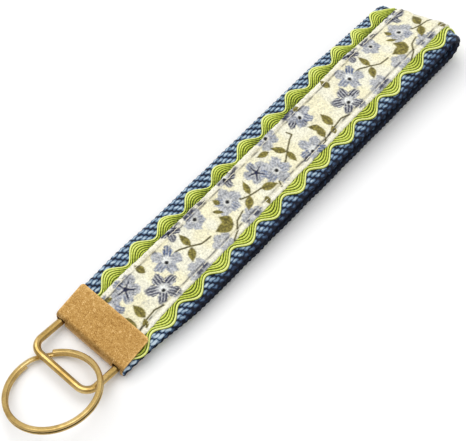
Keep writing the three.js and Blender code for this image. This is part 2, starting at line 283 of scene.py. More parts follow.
class Look:
    """A Principled material and short ways to add nodes to it."""

    def __init__(self, name, **sockets):
        self.material = bpy.data.materials.new(name)
        self.material.use_nodes = True
        self.tree = self.material.node_tree
        self.shader = self.tree.nodes["Principled BSDF"]
        for key, value in sockets.items():
            self.shader.inputs[key.replace("_", " ")].default_value = value

    def node(self, kind, **settings):
        """A new node of this kind."""
        made = self.tree.nodes.new(kind)
        for key, value in settings.items():
            setattr(made, key, value)
        return made

    def feed(self, socket, value):
        """Gives an input another node's output, or a plain value."""
        if isinstance(value, bpy.types.NodeSocket):
            self.tree.links.new(value, socket)
        else:
            socket.default_value = value

    def math(self, operation, a, b=0.0, c=0.0):
        """The outcome of one sum on up to three values."""
        made = self.node("ShaderNodeMath", operation=operation)
        for socket, value in zip(made.inputs, (a, b, c)):
            self.feed(socket, value)
        return made.outputs[0]

    def vector(self, operation, a, b, output="Vector"):
        """The outcome of one sum on two vectors. A dot product is in the output "Value"."""
        made = self.node("ShaderNodeVectorMath", operation=operation)
        self.feed(made.inputs[0], a)
        self.feed(made.inputs[1], b)
        return made.outputs[output]

    def scaled(self, vector, scale):
        return self.vector("MULTIPLY", vector, scale)

    def attribute(self, name, output="Vector"):
        made = self.node("ShaderNodeAttribute", attribute_name=name)
        return made.outputs[output]

    def position(self):
        """Position in the frame, in metres."""
        return self.node("ShaderNodeTexCoord").outputs["Object"]

    def split(self, vector):
        """The three numbers of a vector."""
        made = self.node("ShaderNodeSeparateXYZ")
        self.feed(made.inputs[0], vector)
        return made.outputs

    def noise(self, vector, scale, detail, rough=0.55):
        made = self.node("ShaderNodeTexNoise")
        self.feed(made.inputs["Vector"], vector)
        for key, value in (("Scale", scale), ("Detail", detail), ("Roughness", rough)):
            made.inputs[key].default_value = value
        return made.outputs["Fac"]

    def ramp(self, value, *stops):
        """The colour of a value, from stops of value and colour."""
        made = self.node("ShaderNodeValToRGB")
        self.feed(made.inputs[0], value)
        elements = made.color_ramp.elements
        while len(elements) < len(stops):
            elements.new(1.0)
        for element, (at, color) in zip(elements, stops):
            element.position = at
            element.color = (*color, 1)
        return made.outputs["Color"]

    def spread(self, value, low, high, to_low, to_high):
        """The value carried from one range to another, and held at its ends."""
        made = self.node("ShaderNodeMapRange")
        for socket, number in zip(made.inputs, (value, low, high, to_low, to_high)):
            self.feed(socket, number)
        return made.outputs[0]

    def mix(self, share, a, b, blend="MIX"):
        """Colour a, with its share of b mixed in."""
        made = self.node("ShaderNodeMix", data_type="RGBA", blend_type=blend)
        for socket, value in zip((made.inputs[0], made.inputs[6], made.inputs[7]), (share, a, b)):
            self.feed(socket, (*value, 1) if isinstance(value, tuple) else value)
        return made.outputs[2]

    def bump(self, height, distance, strength):
        made = self.node("ShaderNodeBump")
        made.inputs["Strength"].default_value = strength
        made.inputs["Distance"].default_value = distance
        self.feed(made.inputs["Height"], height)
        self.feed(self.shader.inputs["Normal"], made.outputs[0])

    def color(self, value):
        self.feed(self.shader.inputs["Base Color"], value)

    def rough(self, value):
        self.feed(self.shader.inputs["Roughness"], value)


def srgb(red, green, blue):
    """Linear colour from 0 to 255 screen values."""
    shares = (value / 255 for value in (red, green, blue))
    return tuple(((c + 0.055) / 1.055) ** 2.4 if c > 0.04 else c / 12.92 for c in shares)


def dress(piece, look):
    """Gives a piece one material."""
    piece.data.materials.clear()
    piece.data.materials.append(look.material)


# ---- Webbing --------------------------------------------------------------------------------

WEBBING_HALF, WEBBING_LOW, WEBBING_HIGH = 15.0, 0.3, 2.2

# Its left edge, by distance from the clamp.
WEBBING_LEFT = (
    (-8, 15.5),
    (0, 16.1),
    (15, 16.1),
    (32, 15.6),
    (55, 15.25),
    (75, 15.0),
    (110, 14.9),
    (135, 14.5),
)

# How much narrower it is at the right near the clamp, and over what length.
GATHER, GATHER_LENGTH = 3.0, 32.0

# On the right, beside the clamp, its two ends run on past the ends in the jaw: by how much, over
# what length of the webbing, and between which u this sets in.
OVERRUN, OVERRUN_LENGTH, OVERRUN_FROM, OVERRUN_TO = 3.7, 14.0, 10.9, 11.9

# Width of a yarn, length of its floats, the step from one yarn's float to the next, and their lean.
YARN, FLOAT_LENGTH, YARN_STEP, YARN_LEAN = 30 / 26, 2.8, 0.3, 0.34


def yarn_relief(u, s):
    """0 in the valleys and 1 on the crown of each yarn's float. webbing_look repeats it."""
    number = np.floor(u / YARN)
    across = (u / YARN) % 1 - 0.5
    along = (s / FLOAT_LENGTH + number * YARN_STEP) % 1 - 0.5
    leaning = across + YARN_LEAN * along
    bump = np.clip(1 - (leaning / 0.5) ** 2, 0, 1) * np.clip(1 - (along / 0.5) ** 2, 0, 1)
    return bump**0.5


def make_webbing():
    rows = np.linspace(0, TOTAL, 640)
    t = np.linspace(-1, 1, 76)
    share = np.sign(t) * np.abs(t) ** 0.97
    end = np.minimum(rows, TOTAL - rows)
    narrow = GATHER * (1 - smooth(end, -6, GATHER_LENGTH))
    selvedge = 0.14 * np.sin(2 * math.pi * rows / 1.9)
    left = -along_layer(WEBBING_LEFT, rows) - selvedge + 0.1 * noise(0, rows, 1, 7, 3)
    right = WEBBING_HALF - narrow + selvedge + 0.12 * noise(0, rows, 1, 6, 4)
    u = left[:, None] + (right - left)[:, None] * (share[None] + 1) / 2
    past = OVERRUN * smooth(u, OVERRUN_FROM, OVERRUN_TO)
    s = rows[:, None] - past * (1 - smooth(rows, 0, OVERRUN_LENGTH))[:, None]
    s = s + past * smooth(rows, TOTAL - OVERRUN_LENGTH, TOTAL)[:, None]
    flat_u = u * WEBBING_HALF / np.where(u > 0, right[:, None], -left[:, None])
    relief = yarn_relief(flat_u, s)
    inner_relief = yarn_relief(flat_u + YARN / 2, s + FLOAT_LENGTH / 2)
    edge = smooth(WEBBING_HALF - np.abs(flat_u), 0, 1.1) ** 0.5
    middle = (WEBBING_LOW + WEBBING_HIGH) / 2
    half = (WEBBING_HIGH - WEBBING_LOW) / 2
    outer = middle + (half * edge) * (0.72 + 0.28 * relief)
    inner = middle - (half * edge) * (0.78 + 0.22 * inner_relief)
    # 1 on the inner face, which webbing_look darkens as painted shade.
    sides = [np.zeros_like(u), np.ones_like(u)]
    weave = np.stack([flat_u / YARN, s / FLOAT_LENGTH, np.zeros_like(s)], -1)
    return band("webbing", u, s, outer, inner, weave=weave, backside=sides)


def webbing_look():
    look = Look("denim_blue_webbing", Sheen_Weight=0.15, Sheen_Roughness=0.5, Specular_IOR_Level=0.25)
    strap = look.attribute("strap")
    yarn, turn, _ = look.split(look.attribute("weave"))
    along = look.math("MULTIPLY_ADD", look.math("FLOOR", yarn), YARN_STEP, turn)
    along = look.math("SUBTRACT", look.math("FRACT", along), 0.5)
    across = look.math("SUBTRACT", look.math("FRACT", yarn), 0.5)
    across = look.math("MULTIPLY_ADD", along, YARN_LEAN, across)
    relief = 1.0
    for offset in (across, along):
        crown = look.math("MULTIPLY_ADD", look.math("MULTIPLY", offset, offset), -4.0, 1.0)
        relief = look.math("MULTIPLY", look.math("MAXIMUM", crown, 0.0), relief)
    relief = look.math("SQRT", relief)
    fleck = look.noise(look.scaled(strap, (1.0, 0.45, 0.0)), 1.3, 2.0)
    fibre = look.noise(look.scaled(strap, (3.0, 1.2, 1.0)), 3.2, 4.0, 0.7)
    u, s, _ = look.split(strap)
    # Painted light and shade: the crowns of the yarn floats are lighter and the valleys between them
    # darker.
    tone = look.math("MULTIPLY_ADD", relief, 0.95, -0.84)
    tone = look.math("MULTIPLY_ADD", fleck, 0.75, tone)
    tone = look.math("MULTIPLY_ADD", fibre, 0.6, tone)
    # Painted shade: the right selvedge is darker, except beside the clamp on the upper layer, where
    # painted light makes it lighter.
    tone = look.math("ADD", tone, look.spread(u, 12.8, 14.6, 0.0, -0.4))
    by_clamp = look.spread(s, TOTAL - 26, TOTAL - 8, 0.0, 1.0)
    tone = look.math("MULTIPLY_ADD", look.spread(u, 10.0, 12.5, 0.0, 0.3), by_clamp, tone)
    # Painted shade: the inner faces, in the gap between the two layers, are darker.
    tone = look.math("MULTIPLY_ADD", look.attribute("backside", "Fac"), -0.22, tone)
    look.color(
        look.ramp(
            tone,
            (0.12, srgb(8, 15, 34)),
            (0.34, srgb(44, 66, 98)),
            (0.58, srgb(104, 132, 158)),
            (0.84, srgb(192, 210, 222)),
        )
    )
    look.rough(look.spread(fibre, 0.3, 0.7, 0.72, 0.92))
    look.bump(fibre, 0.00012, 0.9)
    return look


# ---- Rick-rack ------------------------------------------------------------------------------

TAPE = 6.2  # width of the braid
RIBS = 7
RICKRACK_LOW, RICKRACK_HIGH = 2.1, 3.0

# |u| of the outer crests, by distance from the clamp.
CREST_LEFT = (
    (0, 14.4),
    (20, 14.15),
    (32, 13.65),
    (58, 13.1),
    (70, 13.1),
    (82, 13.6),
    (105, 14.1),
    (118, 14.4),
)
CREST_RIGHT = ((0, 13.45),)

# How far in both braids lie at the end of the lower layer, and where along it that ends.
LOWER_TUCK, TUCK_FROM, TUCK_TO = 1.7, 6, 18

# Of each braid: the line of its crests, the depth of the wave, its length, and the first crest.
BRAIDS = {-1: (CREST_LEFT, 3.7, 12.05, 7.5), 1: (CREST_RIGHT, 2.9, 11.9, 8.6)}


def rickrack_middle(s, side):
    """u of the braid's centreline. side is -1 for the left braid and 1 for the right one."""
    crests, wave, period, first = BRAIDS[side]
    turn = 2 * math.pi * (from_mouth(s) - first) / period
    swing = np.cos(turn) + 0.08 * (1 - np.cos(turn) ** 2)
    crest = along_layer(crests, s) - LOWER_TUCK * (1 - smooth(s, TUCK_FROM, TUCK_TO))
    return side * (crest - TAPE / 2 - wave / 2 * (1 - swing))


def make_rickrack(name, side):
    rows = np.linspace(0, TOTAL, 1030)[:, None]
    t = np.linspace(-1, 1, 43)[None]
    rib = (t + 1) / 2 * RIBS
    number = np.minimum(np.floor(rib), RIBS - 1)
    crown = np.sqrt(np.clip(1 - (2 * (rib - number) - 1) ** 2, 0, 1))
    stitch = np.abs(np.sin(math.pi * (rows / 0.95 + number * 0.5)))
    wobble = 0.1 * noise(number * 7.3, rows, 1, 5, 11 + side)
    u = rickrack_middle(rows, side) + t * TAPE / 2 + wobble
    relief = crown * (0.8 + 0.2 * stitch)
    # Painted highlight: the outermost rib on each braid's outer side is lighter, added to the relief that
    # the look turns into tone.
    bright = relief + 0.3 * crown * smooth(side * t, 0.66, 0.76)
    edge = smooth(1 - np.abs(t), 0, 0.12) ** 0.5
    lift = (RICKRACK_HIGH - RICKRACK_LOW) * (0.3 + 0.7 * relief) * (0.35 + 0.65 * edge)
    inner = np.full_like(lift, RICKRACK_LOW)
    s = np.broadcast_to(rows, u.shape)
    return band(name, u, s, RICKRACK_LOW + lift, inner, relief=bright)


def rickrack_look():
    look = Look("lime_rickrack", Sheen_Weight=0.2, Sheen_Roughness=0.4, Specular_IOR_Level=0.35)
    strap = look.attribute("strap")
    relief = look.attribute("relief", "Fac")
    strand = look.noise(look.scaled(strap, (1.6, 2.4, 1.0)), 3.0, 3.0, 0.6)
    patch = look.noise(strap, 0.1, 2.0)
    u, _, _ = look.split(strap)
    # Painted light and shade: the crowns of the ribs are lighter and the grooves between them darker.
    tone = look.math("ADD", relief, -0.55)
    tone = look.math("MULTIPLY_ADD", strand, 0.5, tone)
    tone = look.math("MULTIPLY_ADD", patch, 0.45, tone)
    # Painted light and shade: the right braid is painted lighter than the left, and the left braid is
    # lightest at its outer crests and painted darker towards the strip, as its shadow.
    tone = look.math("ADD", tone, look.spread(u, -9.0, 9.0, -0.05, 0.19))
    tone = look.math("ADD", tone, look.spread(u, -12.0, -8.8, 0.0, -0.32))
    look.color(
        look.ramp(
            tone,
            (0.26, srgb(52, 62, 2)),
            (0.45, srgb(148, 164, 34)),
            (0.7, srgb(206, 218, 88)),
            (0.9, srgb(234, 240, 150)),
        )
    )
    look.rough(look.spread(strand, 0.3, 0.7, 0.6, 0.85))
    look.bump(strand, 0.0001, 0.8)
    return look


# ---- Printed strip --------------------------------------------------------------------------

# Heights of the strip's inner face, of its outer face, and of its rise over the braids.
STRIP_LOW, STRIP_HIGH, OVER_BRAID = 2.75, 3.16, 0.4

# |u| of its two edges, by distance from the clamp.
STRIP_EDGES = {
    -1: ((8, 9.25), (22, 8.75), (38, 8.2), (50, 8.05), (100, 8.05), (115, 8.6)),
    1: ((0, 9.2),),
}
HEM_WIDTH, HEM_ROUNDING = 1.6, 0.55
STITCH_LENGTH, STITCH_SINK, PUCKER = 2.5, 0.34, 0.035

THREAD_PITCH = 0.62  # of the cotton's weave
REPEAT = 87.0  # of the print

CREAM = srgb(240, 234, 200)
WHITE_PATCH = srgb(232, 234, 230)
# Painted highlight of the folded hems.
HEM_HIGHLIGHT = srgb(246, 243, 228)
SLATE = srgb(112, 124, 152)
PALE, GREY = srgb(200, 201, 202), srgb(152, 156, 166)
BLUE, NAVY = srgb(78, 98, 138), srgb(18, 26, 62)
OLIVE, OLIVE_DARK = srgb(142, 132, 62), srgb(88, 80, 26)
BLACK = srgb(8, 8, 12)
CREASE_SHADE = srgb(44, 44, 52)

# Each kind of flower: the depth of the notches between its petals, its light and dark colours,
# and the strength of its strokes.
FLOWER_KINDS = {
    "pale": (0.32, PALE, SLATE, 0.75),
    "streaked": (0.36, PALE, BLUE, 0.8),
    "navy": (0.55, PALE, NAVY, 1.0),
    "teal": (0.5, PALE, BLUE, 1.0),
    "faint": (0.3, PALE, GREY, 0.6),
}

# Each flower: u, distance along the repeat, radius, first petal's angle, kind.
FLOWERS = [
    (-4.6, 37.8, 3.7, 20, "pale"),
    (-1.2, 49.0, 4.7, 60, "pale"),
    (3.0, 67.4, 4.9, 5, "pale"),
    (-1.3, 62.6, 4.2, 40, "streaked"),
    (-1.9, 22.2, 4.9, 15, "teal"),
    (3.6, 15.0, 5.4, 50, "navy"),
    (6.6, 80.6, 4.9, 25, "teal"),
    (-5.0, 86.0, 4.4, 0, "navy"),
    (-7.0, 73.6, 4.2, 35, "pale"),
    (-4.4, 0.2, 4.4, 45, "teal"),
    (-7.4, 54.5, 3.6, 10, "navy"),
    (-8.0, 29.6, 3.6, 20, "navy"),
    (6.9, 38.0, 3.4, 30, "faint"),
    (8.2, 50.5, 3.8, 50, "faint"),
    (7.8, 26.5, 4.0, 15, "faint"),
]

# Each leaf: u and distance of its base, angle from across the strap, length, width.
LEAVES = [
    (2.3, 55.6, 158, 5.2, 2.3),
    (3.5, 59.4, 58, 5.6, 3.3),
    (2.6, 55.2, -52, 5.4, 2.9),
    (5.0, 44.8, 196, 5.0, 3.6),
    (5.2, 44.8, 248, 6.3, 4.4),
    (0.3, 30.6, 176, 5.4, 2.6),
    (0.8, 30.4, -42, 5.0, 2.9),
    (-4.0, 15.0, 187, 4.2, 2.7),
    (5.8, 4.7, 176, 5.8, 3.1),
    (1.0, 74.6, 208, 5.4, 2.5),
    (1.0, 74.8, -10, 5.0, 2.3),
    (6.9, 86.3, 160, 5.6, 2.9),
    (3.9, 88.4, 214, 4.6, 2.4),
    (-7.4, 0.2, 60, 3.0, 2.0),
    (8.4, 2.6, 150, 3.2, 2.2),
    (-2.4, 46.9, 190, 2.8, 2.0),
    (-2.4, 43.4, 40, 3.8, 1.4),
    (-3.2, 70.8, 250, 4.4, 2.3),
    (6.4, 58.2, -20, 3.2, 2.2),
]

# Each stem: its points as u and distance.
STEMS = [
    [(2.6, 55.4), (1.4, 52.6), (-0.2, 51.8)],
    [(2.6, 55.6), (3.3, 58.4), (3.6, 60.2)],
    [(7.2, 44.2), (5.4, 46.2), (4.5, 49.8)],
    [(7.4, 44.6), (8.6, 41.8), (9.2, 40.6)],
    [(0.5, 30.6), (2.4, 33.4), (2.8, 37.0)],
    [(0.5, 30.6), (-1.4, 27.4), (-1.8, 26.0)],
    [(6.5, 4.4), (6.2, 8.0), (7.4, 11.0)],
    [(6.5, 4.4), (7.4, 0.2), (7.9, -2.0)],
    [(1.0, 74.8), (-1.2, 78.6), (-1.8, 80.4), (-3.6, 79.8)],
    [(1.0, 74.8), (3.0, 71.8), (3.4, 70.0)],
    [(7.2, 86.4), (8.2, 83.2), (9.2, 82.4)],
    [(3.2, 69.0), (6.4, 64.8), (8.0, 64.2)],
]

# Each run of dark dabs along a hem: u, and the distances of its ends.
DABS = [
    (-7.2, 26.5, 46.0),
    (-6.9, 52.0, 61.0),
    (-7.0, 81.0, 91.5),
    (8.3, 22.5, 31.0),
    (8.0, 46.5, 55.5),
    (7.6, 73.5, 79.0),
]

# Flowers that don't repeat, by distance from the clamp.
FIRST_FLOWERS = [(-4.9, 7.2, 4.7, 30, "streaked")]

# How far along the strip a printed item can reach, and a run of dabs.
ITEM_REACH, DABS_REACH = 12, 30


def stitch_row(s, side):
    """|u| of a row of stitches. side is -1 for the left row and 1 for the right one."""
    return along_layer(STRIP_EDGES[side], s) - HEM_WIDTH


def blend_in(color, mask, target):
    """The colour of each point, changed to the target where the mask is 1."""
    return color * (1 - mask[..., None]) + np.array(target) * mask[..., None]


def segment_distance(u, v, a, b):
    """Distance of each point from the line between a and b."""
    du, dv = b[0] - a[0], b[1] - a[1]
    t = np.clip(((u - a[0]) * du + (v - a[1]) * dv) / (du * du + dv * dv), 0, 1)
    return np.hypot(u - a[0] - t * du, v - a[1] - t * dv)


def paint_stem(color, u, v, points):
    away = np.min([segment_distance(u, v, a, b) for a, b in zip(points, points[1:])], axis=0)
    return blend_in(color, 1 - smooth(away, 0.12, 0.42), OLIVE_DARK)


def paint_leaf(color, u, v, leaf):
    base_u, base_v, angle, length, width = leaf
    c, d = math.cos(math.radians(angle)), math.sin(math.radians(angle))
    along = ((u - base_u) * c + (v - base_v) * d) / length
    across = (-(u - base_u) * d + (v - base_v) * c) / (width / 2)
    body = np.sin(math.pi * np.clip(along, 0, 1) ** 0.8) - np.abs(across)
    inside = (along > 0) & (along < 1)
    color = blend_in(color, smooth(body, -0.05, 0.2) * inside, OLIVE)
    shade = smooth(noise(u, v, 0.45, 0.45, 31), -0.3, 0.6) * 0.75
    color = blend_in(color, smooth(body, 0.0, 0.3) * inside * shade, OLIVE_DARK)
    vein = (1 - smooth(np.abs(across), 0.05, 0.28)) * inside
    return blend_in(color, vein * 0.55, OLIVE_DARK)


def paint_flower(color, u, v, flower):
    """Five rounded petals in brushed strokes. Most kinds have a light heart and a dark dot, and a
    streaked one has dark rays."""
    centre_u, centre_v, radius, turn, kind = flower
    notch, light, dark, depth = FLOWER_KINDS[kind]
    size = 1.1 * radius
    du, dv = u - centre_u, v - centre_v
    away = np.hypot(du, dv) / size
    angle = np.arctan2(dv, du) + math.radians(turn)
    number = np.round(angle / (2 * math.pi / 5))
    off_petal = angle - number * 2 * math.pi / 5
    petal = 1 - notch + notch * np.cos(2.5 * off_petal) ** 0.7
    lean = 0.5 + 0.5 * np.sin((number % 5) * 2.4 + centre_v)
    ragged = 0.1 * noise(u, v, 0.7, 0.7, 41) + 0.06 * noise(u, v, 0.35, 0.35, 42)
    inside = 1 - smooth(away / (petal + ragged - 0.12 * lean), 0.86, 1.04)
    mottle = smooth(noise(u, v, 0.42, 0.42, 43), -0.8, 0.8)
    color = blend_in(color, inside * (0.6 + 0.4 * mottle), light)
    color = blend_in(color, inside * (1 - mottle) * 0.75 * smooth(away, 0.1, 0.4), GREY)
    across = np.sin(off_petal) * away * size
    wander = 0.9 * noise(u, v, 1.0, 1.0, 47)
    strokes = smooth(np.cos(2 * math.pi * across / 0.92 + wander), -0.8, -0.05)
    reach = smooth(away, 0.2, 0.34) * (1 - smooth(away, 0.74, 1.0))
    patchy = smooth(noise(u, v, 0.9, 0.9, 53), -0.95, -0.35)
    share = 0.8 + 0.2 * lean if kind == "navy" else 0.25 + 0.75 * lean**2
    streak = inside * strokes * reach * patchy * share
    color = blend_in(color, streak * depth, dark)
    if kind == "streaked":
        ray = 1 - smooth(np.abs(across) + 0.15 * noise(u, v, 0.5, 0.5, 49), 0.1, 0.42)
        color = blend_in(color, ray * (1 - smooth(away, 0.45, 0.72)), NAVY)
        return blend_in(color, 1 - smooth(away, 0.1, 0.2), NAVY)
    outline = inside * smooth(away / petal, 0.78, 0.9) * patchy * share
    color = blend_in(color, outline * 0.7 * depth, dark)
    if kind == "faint":
        return color
    heart = 1 - smooth(away + 0.1 * noise(u, v, 0.6, 0.6, 48), 0.12, 0.32)
    color = blend_in(color, heart * (0.4 if kind == "pale" else 0.95), WHITE_PATCH)
    beside = 0.0 if kind == "pale" else 0.5
    return blend_in(color, 1 - smooth(np.hypot(du - beside, dv + beside), 0.5, 0.8), BLACK)


def paint_dabs(color, u, v, dabs):
    """Short dark strokes of flowers that the hem cuts off."""
    middle, start, end = dabs
    run = smooth(v, start, start + 2) * (1 - smooth(v, end - 2, end))
    across = 1 - smooth(np.abs(u - middle + 0.4 * noise(0, v, 1, 2.2, 83)), 0.3, 0.9)
    broken = smooth(noise(u, v, 0.8, 1.3, 89), -0.5, 0.0)
    return blend_in(color, run * across * broken * 0.9, NAVY)


def print_color(u, s, from_row):
    """The printed pattern at each point of the strip. from_row is the distance outside the
    row of stitches."""
    distance = from_mouth(s)
    v = distance % REPEAT
    color = np.ones((*u.shape, 3)) * np.array(CREAM)
    wash = smooth(noise(u, v, 4.0, 4.0, 59), -0.4, 0.8) * 0.4
    color = blend_in(color, wash, WHITE_PATCH)
    specks = smooth(noise(u, v, 0.5, 0.5, 57), 0.4, 0.9)
    specks = specks * smooth(noise(u, v, 3.0, 3.0, 58), -0.2, 0.5)
    color = blend_in(color, specks * 0.35, GREY)
    # Painted highlight: the folded hems are lighter.
    color = blend_in(color, smooth(from_row, -0.2, 0.2) * 0.6, HEM_HIGHLIGHT)
    repeats = (-REPEAT, 0, REPEAT)
    layers = (
        (paint_stem, STEMS, v, repeats, ITEM_REACH),
        (paint_flower, FLOWERS, v, repeats, ITEM_REACH),
        (paint_flower, FIRST_FLOWERS, distance, (0,), ITEM_REACH),
        (paint_leaf, LEAVES, v, repeats, ITEM_REACH),
        (paint_dabs, DABS, v, (0,), DABS_REACH),
    )
    for paint, items, where, shifts, reach in layers:
        for item in items:
            # An item's distance is its second number, and a stem's is that of its first point.
            start = item[0][1] if paint is paint_stem else item[1]
            for shift in shifts:
                near = np.abs(where - shift - start) < reach
                if near.any():
                    color[near] = paint(color[near], u[near], where[near] - shift, item)
    return color


def ridge(x, width):
    """1 at zero, and falling smoothly to 0 on both sides."""
    return np.exp(-((x / width) ** 2))


def make_strip():
    rows = np.linspace(0, TOTAL, 1150)[:, None]
    stitch_turn = 2 * math.pi * rows / STITCH_LENGTH
    t = np.linspace(-1, 1, 81)[None]
    hem = np.where(t < 0, stitch_row(rows, -1), stitch_row(rows, 1)) + HEM_WIDTH
    half = hem + 0.13 * noise(0, rows, 1, 4.5, 61) - 0.06 * np.cos(stitch_turn)
    u = np.sign(t) * (1 - (1 - np.abs(t)) ** 1.12) * half + 0.12 * noise(0, rows, 1, 30, 67)
    s = np.broadcast_to(rows, u.shape)
    side = np.where(u < 0, -1, 1)
    from_row = np.abs(u) - hem + HEM_WIDTH
    braid = np.where(u < 0, -rickrack_middle(s, -1), rickrack_middle(s, 1)) - TAPE / 2
    over_braid = smooth(np.abs(u) - braid, -0.9, 0.9)
    hole = 0.55 + 0.45 * np.cos(stitch_turn + 0.2 * math.pi)
    rise = STRIP_HIGH + OVER_BRAID * over_braid
    rise = rise - STITCH_SINK * ridge(from_row, 0.42) * (0.5 + 0.5 * hole)
    rise = rise + PUCKER * ridge(from_row + 1.0, 1.3) * np.cos(stitch_turn + side)
    rise = rise + 0.07 * noise(u, s, 2.2, 5.0, 71) + 0.03 * noise(u, s, 0.9, 1.4, 73)
    inward = np.clip((half - np.abs(u)) / HEM_ROUNDING, 0, 1)
    edge = np.sqrt(1 - (1 - inward) ** 2)
    outer = STRIP_LOW + (rise - STRIP_LOW) * (0.3 + 0.7 * edge)
    inner = np.full_like(outer, STRIP_LOW)
    # Painted shade: a broken dark line along the inner side of each row of stitches, in the stitch
    # channel.
    broken = smooth(noise(0, s + 40 * side, 1, 1.5, 79), -0.5, 0.3)
    crease = ridge(from_row + 0.5, 0.27) * (0.3 + 0.7 * broken)
    ink = print_color(u, s, from_row)
    ink = np.concatenate([ink, np.ones((*u.shape, 1))], -1)
    return band("printed_strip", u, s, outer, inner, ink=ink, crease=crease)


def strip_look():
    look = Look("printed_cotton", Sheen_Weight=0.12, Sheen_Roughness=0.6, Specular_IOR_Level=0.3)
    strap = look.attribute("strap")
    u, s, _ = look.split(strap)
    crease = look.attribute("crease", "Fac")
    thread = 2 * math.pi / THREAD_PITCH
    wave_u = look.math("SINE", look.math("MULTIPLY", u, thread))
    wave_s = look.math("SINE", look.math("MULTIPLY", s, thread))
    weave = look.math("MULTIPLY", wave_u, wave_s)
    slub_s = look.noise(look.scaled(strap, (4.0, 0.5, 0.0)), 1.6, 2.0)
    slub_u = look.noise(look.scaled(strap, (0.5, 4.0, 0.0)), 1.6, 2.0)
    cloth = look.math("MULTIPLY_ADD", weave, 0.5, look.math("ADD", slub_s, slub_u))
    grain = look.noise(strap, 1.7, 3.0, 0.6)
    threads = look.spread(cloth, 0.4, 1.6, 0.72, 1.12)
    speckle = look.math("MULTIPLY", threads, look.spread(grain, 0.34, 0.66, 0.52, 1.34))
    # The grain of the cloth shows most where the ink is dark.
    ink = look.attribute("ink", "Color")
    _, green, _ = look.split(ink)
    share = look.spread(green, 0.7, 0.4, 0.5, 1.05)
    shade = look.math("MULTIPLY_ADD", look.math("SUBTRACT", speckle, 0.97), share, 0.97)
    gray = look.node("ShaderNodeCombineColor")
    for socket in gray.inputs:
        look.feed(socket, shade)
    color = look.mix(1.0, ink, gray.outputs[0], "MULTIPLY")
    look.color(look.mix(look.math("MULTIPLY", crease, 0.85), color, CREASE_SHADE))
    look.rough(look.spread(cloth, 0.4, 1.6, 0.74, 0.9))
    look.bump(cloth, 0.00006, 0.8)
    return look


# ---- Stitches -------------------------------------------------------------------------------

THREAD_INSET, THREAD_STEP, THREAD_SIDES = 0.6, 0.2, 8

# Of each thread: the heights of its centre in a hole and on the face, its radius, and its phase.
NEEDLE_THREAD = (2.98, 3.3, 0.14, 0.0)
BOBBIN_THREAD = (0.5, 0.2, 0.17, 0.5)


def make_stitches(name, side, low, high, radius, phase):
    """One thread that shows as a row of stitches and dives between them."""
    rows = np.arange(THREAD_INSET, TOTAL - THREAD_INSET, THREAD_STEP)
    turn = (rows / STITCH_LENGTH + phase) % 1
    shown = smooth(turn, 0.02, 0.2) * (1 - smooth(turn, 0.8, 0.98))
    height = low + (high - low) * shown
    lean = 0.1 * (turn - 0.5) * shown * side
    angle = np.arange(THREAD_SIDES) * 2 * math.pi / THREAD_SIDES
    twist = 1 + 0.08 * np.cos(2 * angle[None] + rows[:, None] * 7)
    middle = side * stitch_row(rows, side) + lean
    u = middle[:, None] + radius * twist * np.cos(angle)[None]
    h = height[:, None] + radius * twist * np.sin(angle)[None] * 0.8
    s = np.broadcast_to(rows[:, None], u.shape)
    strap = np.stack([u, s, h], -1)
    return tube(name, place(u, s, h), {"strap": strap})


def thread_look():
    look = Look("cream_thread", Sheen_Weight=0.2, Specular_IOR_Level=0.45)
    u, s, _ = look.split(look.attribute("strap"))
    ply = look.math("SINE", look.math("MULTIPLY_ADD", s, 17.0, look.math("MULTIPLY", u, 12.0)))
    tone = look.spread(ply, -1, 1, 0, 1)
    look.color(look.ramp(tone, (0.0, srgb(196, 188, 160)), (1.0, srgb(246, 242, 226))))
    look.rough(look.spread(ply, -1, 1, 0.5, 0.7))
    look.bump(ply, 0.00004, 0.7)
    return look


# ---- Brass ----------------------------------------------------------------------------------

# The split ring's axis, and the side of the ring where its two turns lie together and painted shade marks
# the groove between them.
RING_AXIS, RING_SEAM = (-0.307, 0.106, 0.946), (0.7, -0.7, 0.0)
SEAM_SHADE = srgb(26, 16, 6)

# Dark, middle and light tones of each wire.
BAIL_TONES = srgb(150, 120, 62), srgb(188, 157, 94), srgb(222, 196, 138)
RING_TONES = srgb(160, 130, 74), srgb(204, 174, 110), srgb(234, 208, 150)

EDGE_RUB = 0.0009  # width of the rubbed edges of the clamp, in metres
CLAMP_BEVEL, RING_BEVEL = 0.14, 0.2  # width of their eased edges


def clamp_look():
    """Sandblasted antique brass: grainy colour and roughness, rubbed brighter at the edges."""
    look = Look("sandblasted_brass", Metallic=1.0)
    where = look.position()
    grain = look.noise(where, 3000.0, 3.0, 0.7)
    spot = look.noise(where, 1100.0, 2.0, 0.6)
    cloud = look.noise(where, 160.0, 3.0, 0.5)
    x, y, _ = look.split(where)
    low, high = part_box("clamp")
    rub = 0.0
    for axis, a, b in ((x, low.x, high.x), (y, low.y, high.y)):
        for edge, inward in ((a, 1), (b, -1)):
            near = look.spread(axis, edge, edge + inward * EDGE_RUB, 1.0, 0.0)
            rub = look.math("MAXIMUM", near, rub)
    rub = look.math("MULTIPLY", rub, look.spread(spot, 0.3, 0.7, 0.4, 1.0))
    tone = look.math("ADD", look.math("MULTIPLY", grain, 0.75), look.math("MULTIPLY", spot, 0.25))
    tone = look.math("ADD", tone, look.math("MULTIPLY_ADD", cloud, 0.1, -0.05))
    color = look.ramp(
        tone,
        (0.35, srgb(122, 86, 42)),
        (0.47, srgb(170, 131, 72)),
        (0.56, srgb(188, 151, 90)),
        (0.7, srgb(242, 212, 160)),
    )
    look.color(look.mix(look.math("MULTIPLY", rub, 0.4), color, srgb(214, 178, 120)))
    rough = look.spread(grain, 0.3, 0.7, 0.5, 0.68)
    look.rough(look.math("MULTIPLY_ADD", rub, -0.14, rough))
    look.bump(tone, 0.00013, 0.85)
    return look


